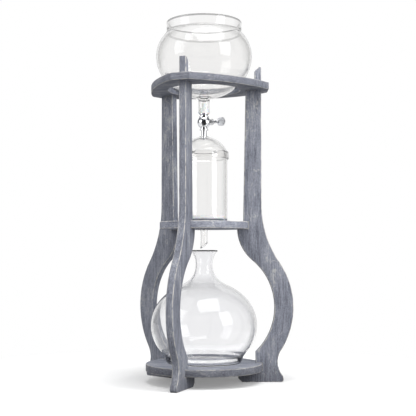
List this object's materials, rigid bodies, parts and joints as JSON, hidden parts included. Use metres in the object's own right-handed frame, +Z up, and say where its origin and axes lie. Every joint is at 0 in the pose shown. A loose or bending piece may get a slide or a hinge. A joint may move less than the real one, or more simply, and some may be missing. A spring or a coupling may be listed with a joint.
{
  "type": "cold drip coffee tower",
  "caption": "Cold drip coffee tower: curved wooden legs carry a glass water bowl with a drip valve, a domed glass coffee chamber and a globe carafe.",
  "frame": {"origin": "on the tower's axis at the floor, level with the undersides of the feet", "axes": "+Z up; the front leg points to -Y and the right leg lies towards +X and +Y; the valve's paddle points to +X"},
  "size_m": [0.26, 0.2275, 0.5584],
  "materials": {
    "wood_frame": "blue-grey washed wood with fine grain and paler worn edges",
    "clear_glass": "clear blown glass",
    "polished_metal": "polished",
    "satin_metal": "satin grey",
    "silicone": "translucent whitish silicone",
    "ceramic": "unglazed pale ceramic"
  },
  "bodies": {
    "frame": {"leg_front": "wood_frame", "leg_right": "wood_frame", "leg_left": "wood_frame", "base_board": "wood_frame", "shelf_board": "wood_frame", "top_board": "wood_frame"},
    "chamber": {"coffee_chamber": "clear_glass", "filter_disc": "ceramic", "filter_gasket": "silicone"},
    "cap": {"chamber_cap": "clear_glass"},
    "bowl": {"water_bowl": "clear_glass", "neck_seal": "silicone", "inlet_tube": "polished_metal", "top_collar": "polished_metal", "valve_body": "polished_metal", "lower_collar": "polished_metal", "outlet_tube": "polished_metal", "gland_nut": "polished_metal", "gland_packing": "silicone"},
    "valve_key": {"valve_plug": "polished_metal", "valve_paddle": "satin_metal"},
    "carafe": {"carafe": "clear_glass"}
  },
  "joints": [
    {"name": "chamber_lift", "type": "slide", "parent": "frame", "child": "chamber", "axis": [0, 0, 1], "range_m": [0, 0.26]},
    {"name": "cap_lift", "type": "slide", "parent": "chamber", "child": "cap", "axis": [0, 0, 1], "range_m": [0, 0.05]},
    {"name": "bowl_lift", "type": "slide", "parent": "cap", "child": "bowl", "axis": [0, 0, 1], "range_m": [0, 0.1]},
    {"name": "valve_turn", "type": "hinge", "parent": "bowl", "child": "valve_key", "pos_m": [0.02, 0, 0.40114], "axis": [1, 0, 0], "range_deg": [0, 90]},
    {"name": "carafe_slide", "type": "slide", "parent": "frame", "child": "carafe", "axis": [0, 1, 0], "range_m": [0, 0.24]}
  ]
}
